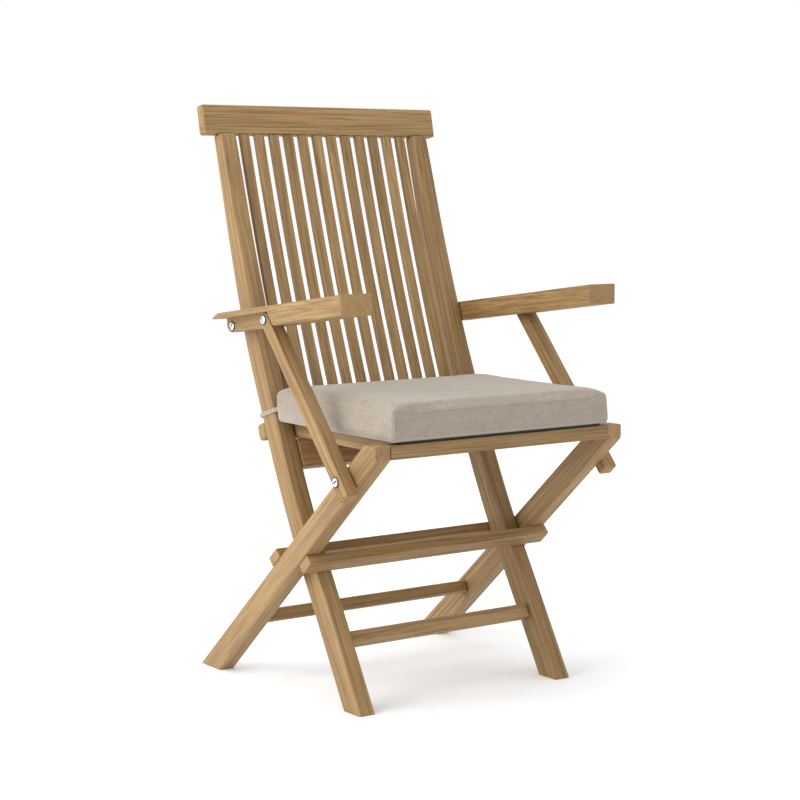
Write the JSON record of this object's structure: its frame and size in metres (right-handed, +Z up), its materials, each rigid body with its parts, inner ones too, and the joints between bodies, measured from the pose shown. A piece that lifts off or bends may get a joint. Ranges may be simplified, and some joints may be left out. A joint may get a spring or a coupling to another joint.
{
  "type": "folding armchair",
  "caption": "Folding wooden armchair with a vertical-slat high back, crossed legs, swinging armrests on diagonal supports and a tied-on box seat cushion.",
  "frame": {"origin": "on the floor, under the middle of the bounding box", "axes": "+Z up; the sitter faces -Y; +X is the sitter's left"},
  "size_m": [0.5701, 0.5679, 1.0008],
  "materials": {
    "teak": "oiled, fine straight grain",
    "steel": "bright turned bolts",
    "linen": "plain woven greige cloth"
  },
  "bodies": {
    "back_frame": {"stile_left": "teak", "stile_right": "teak", "top_rail": "teak", "back_slat_01": "teak", "back_slat_02": "teak", "back_slat_03": "teak", "back_slat_04": "teak", "back_slat_05": "teak", "back_slat_06": "teak", "back_slat_07": "teak", "back_slat_08": "teak", "back_slat_09": "teak", "back_slat_10": "teak", "back_slat_11": "teak", "back_slat_12": "teak", "back_base_rail": "teak", "seat_rest_rail": "teak", "front_stretcher": "teak", "arm_rear_bolt_left": "steel", "arm_rear_bolt_right": "steel", "fold_pin_left": "steel", "fold_pin_right": "steel", "cushion_tie_left": "linen", "cushion_tie_right": "linen"},
    "leg_frame": {"leg_left": "teak", "leg_right": "teak", "rear_cross_rail": "teak", "front_cross_rail": "teak", "rear_stretcher": "teak"},
    "seat": {"front_seat_rail": "teak", "seat_side_rail_left": "teak", "seat_side_rail_right": "teak", "seat_batten_front": "teak", "seat_batten_middle": "teak", "seat_batten_rear": "teak", "seat_slat_01": "teak", "seat_slat_02": "teak", "seat_slat_03": "teak", "seat_slat_04": "teak", "seat_slat_05": "teak", "seat_slat_06": "teak", "seat_slat_07": "teak", "seat_slat_08": "teak", "seat_slat_09": "teak", "seat_slat_10": "teak", "seat_pin_left": "steel", "seat_pin_right": "steel", "seat_cushion": "linen"},
    "arm_left": {"armrest_left": "teak", "arm_front_bolt_left": "steel"},
    "arm_support_left": {"arm_support_left": "teak", "support_foot_bolt_left": "steel"},
    "arm_right": {"armrest_right": "teak", "arm_front_bolt_right": "steel"},
    "arm_support_right": {"arm_support_right": "teak", "support_foot_bolt_right": "steel"}
  },
  "joints": [
    {"name": "fold", "type": "hinge", "parent": "back_frame", "child": "leg_frame", "pos_m": [0, -0.0205, 0.2385], "axis": [-1, 0, 0], "range_deg": [0, 65]},
    {"name": "seat_fold", "type": "hinge", "parent": "leg_frame", "child": "seat", "pos_m": [0, -0.2662, 0.4448], "axis": [1, 0, 0], "range_deg": [0, 135.05]},
    {"name": "arm_left_swing", "type": "hinge", "parent": "back_frame", "child": "arm_left", "pos_m": [-0.24, 0.1572, 0.6185], "axis": [-1, 0, 0], "range_deg": [0, 94.19]},
    {"name": "arm_support_left_swing", "type": "hinge", "parent": "arm_left", "child": "arm_support_left", "pos_m": [-0.26, 0.0093, 0.6389], "axis": [1, 0, 0], "range_deg": [0, 109]},
    {"name": "arm_right_swing", "type": "hinge", "parent": "back_frame", "child": "arm_right", "pos_m": [0.24, 0.1572, 0.6185], "axis": [-1, 0, 0], "range_deg": [0, 94.19]},
    {"name": "arm_support_right_swing", "type": "hinge", "parent": "arm_right", "child": "arm_support_right", "pos_m": [0.26, 0.0093, 0.6389], "axis": [1, 0, 0], "range_deg": [0, 109]}
  ],
  "couplings": [
    {"joint": "seat_fold", "follows": "fold", "ratio": 2.0769},
    {"joint": "arm_left_swing", "follows": "fold", "ratio": 1.4483},
    {"joint": "arm_support_left_swing", "follows": "fold", "ratio": 1.6761},
    {"joint": "arm_right_swing", "follows": "fold", "ratio": 1.4483},
    {"joint": "arm_support_right_swing", "follows": "fold", "ratio": 1.6761}
  ]
}
